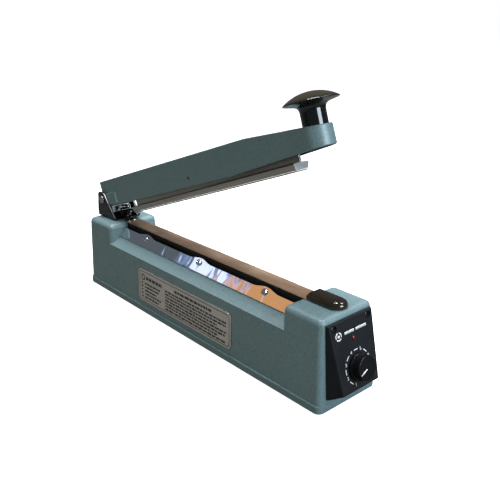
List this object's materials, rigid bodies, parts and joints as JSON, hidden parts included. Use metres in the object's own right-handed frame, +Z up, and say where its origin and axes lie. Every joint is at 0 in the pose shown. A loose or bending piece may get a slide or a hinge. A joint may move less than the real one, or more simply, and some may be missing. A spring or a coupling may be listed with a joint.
{
  "type": "impulse heat sealer",
  "caption": "Hand-operated impulse heat sealer: cast base with seal bar, chrome strips and timer dial, sprung arm with pressure bar and knob handle.",
  "frame": {"origin": "on the floor under the feet, under the middle of the overall bounding box", "axes": "+X along the body to the end with the timer dial, +Z up, +Y across the body away from the nameplate side"},
  "size_m": [0.4821, 0.084, 0.296],
  "materials": {
    "hammertone_paint": "hammered gloss enamel",
    "steel": "plain",
    "nameplate_foil": "printed foil",
    "black_plastic": "satin",
    "black_steel": "blacked",
    "red_lens": "clear gloss",
    "phenolic": "matte",
    "ptfe_cloth": "smooth coated glass cloth",
    "chrome": "polished",
    "gloss_black": "polished",
    "brass": "plain",
    "zinc": "zinc plated",
    "rubber": "matte",
    "silicone": "matte",
    "aluminium": "extruded",
    "copper": "enamelled wire",
    "circuit_board": "satin"
  },
  "bodies": {
    "base": {"base_casting": "hammertone_paint", "bottom_plate": "steel", "nameplate": "nameplate_foil", "front_console": "black_plastic", "console_screw_left": "black_steel", "console_screw_right": "black_steel", "indicator_lamp": "red_lens", "potentiometer": "phenolic", "seal_bar": "phenolic", "heating_element": "steel", "ptfe_tape": "ptfe_cloth", "retaining_strip_left": "chrome", "retaining_strip_right": "chrome", "terminal_cover": "gloss_black", "terminal_rear": "brass", "terminal_front": "brass", "hinge_bracket": "black_steel", "bracket_screw_left": "zinc", "bracket_screw_right": "zinc", "hinge_pin": "steel", "spring_bracket": "black_steel", "return_spring": "steel", "cord_grommet": "rubber", "fuse_holder": "black_plastic", "transformer_core": "steel", "transformer_winding": "copper", "transformer_strap": "zinc", "timer_board": "circuit_board", "board_relay": "black_plastic", "board_capacitor": "aluminium", "microswitch": "phenolic", "switch_bracket": "zinc", "plate_screw_rear_right": "zinc", "foot_rear_right": "rubber", "plate_screw_rear_left": "zinc", "foot_rear_left": "rubber", "plate_screw_front_right": "zinc", "foot_front_right": "rubber", "plate_screw_front_left": "zinc", "foot_front_left": "rubber", "strip_screw_left_1": "chrome", "strip_screw_left_2": "chrome", "strip_screw_left_3": "chrome", "strip_screw_right_1": "chrome", "strip_screw_right_2": "chrome", "strip_screw_right_3": "chrome"},
    "arm": {"arm_casting": "hammertone_paint", "hinge_plate": "zinc", "hinge_plate_screw_left": "zinc", "hinge_plate_screw_right": "zinc", "bar_pin": "steel", "handle_knob": "gloss_black", "knob_stud": "steel"},
    "pressure_bar": {"pressure_bar": "aluminium", "silicone_strip": "silicone"},
    "timer": {"timer_knob": "black_plastic", "timer_shaft": "steel"},
    "switch_rod": {"switch_rod": "steel"},
    "switch_lever": {"switch_lever": "steel"}
  },
  "joints": [
    {"name": "arm_hinge", "type": "hinge", "parent": "base", "child": "arm", "pos_m": [-0.21689, 0, 0.121], "axis": [0, 1, 0], "range_deg": [0, 18.17], "stiffness_Nm_per_rad": 6, "springref_deg": -25.78, "deforming": ["return_spring"]},
    {"name": "bar_rock", "type": "hinge", "parent": "arm", "child": "pressure_bar", "pos_m": [-0.01505, 0, 0.18611], "axis": [0, 1, 0], "range_deg": [0, 1.35]},
    {"name": "timer_turn", "type": "hinge", "parent": "base", "child": "timer", "pos_m": [0.22691, 0, 0.04344], "axis": [-0.9706, 0, -0.2409], "range_deg": [-45, 270]},
    {"name": "rod_slide", "type": "slide", "parent": "base", "child": "switch_rod", "axis": [0, 0, -1], "range_m": [0, 0.0021]},
    {"name": "lever_turn", "type": "hinge", "parent": "base", "child": "switch_lever", "pos_m": [-0.19389, 0, 0.0782], "axis": [0, -1, 0], "range_deg": [0, 10.2]}
  ],
  "couplings": [
    {"joint": "bar_rock", "follows": "arm_hinge", "ratio": 0.073162},
    {"joint": "rod_slide", "follows": "arm_hinge", "m_per_rad": 0.006306},
    {"joint": "lever_turn", "follows": "arm_hinge", "ratio": 0.54484}
  ]
}
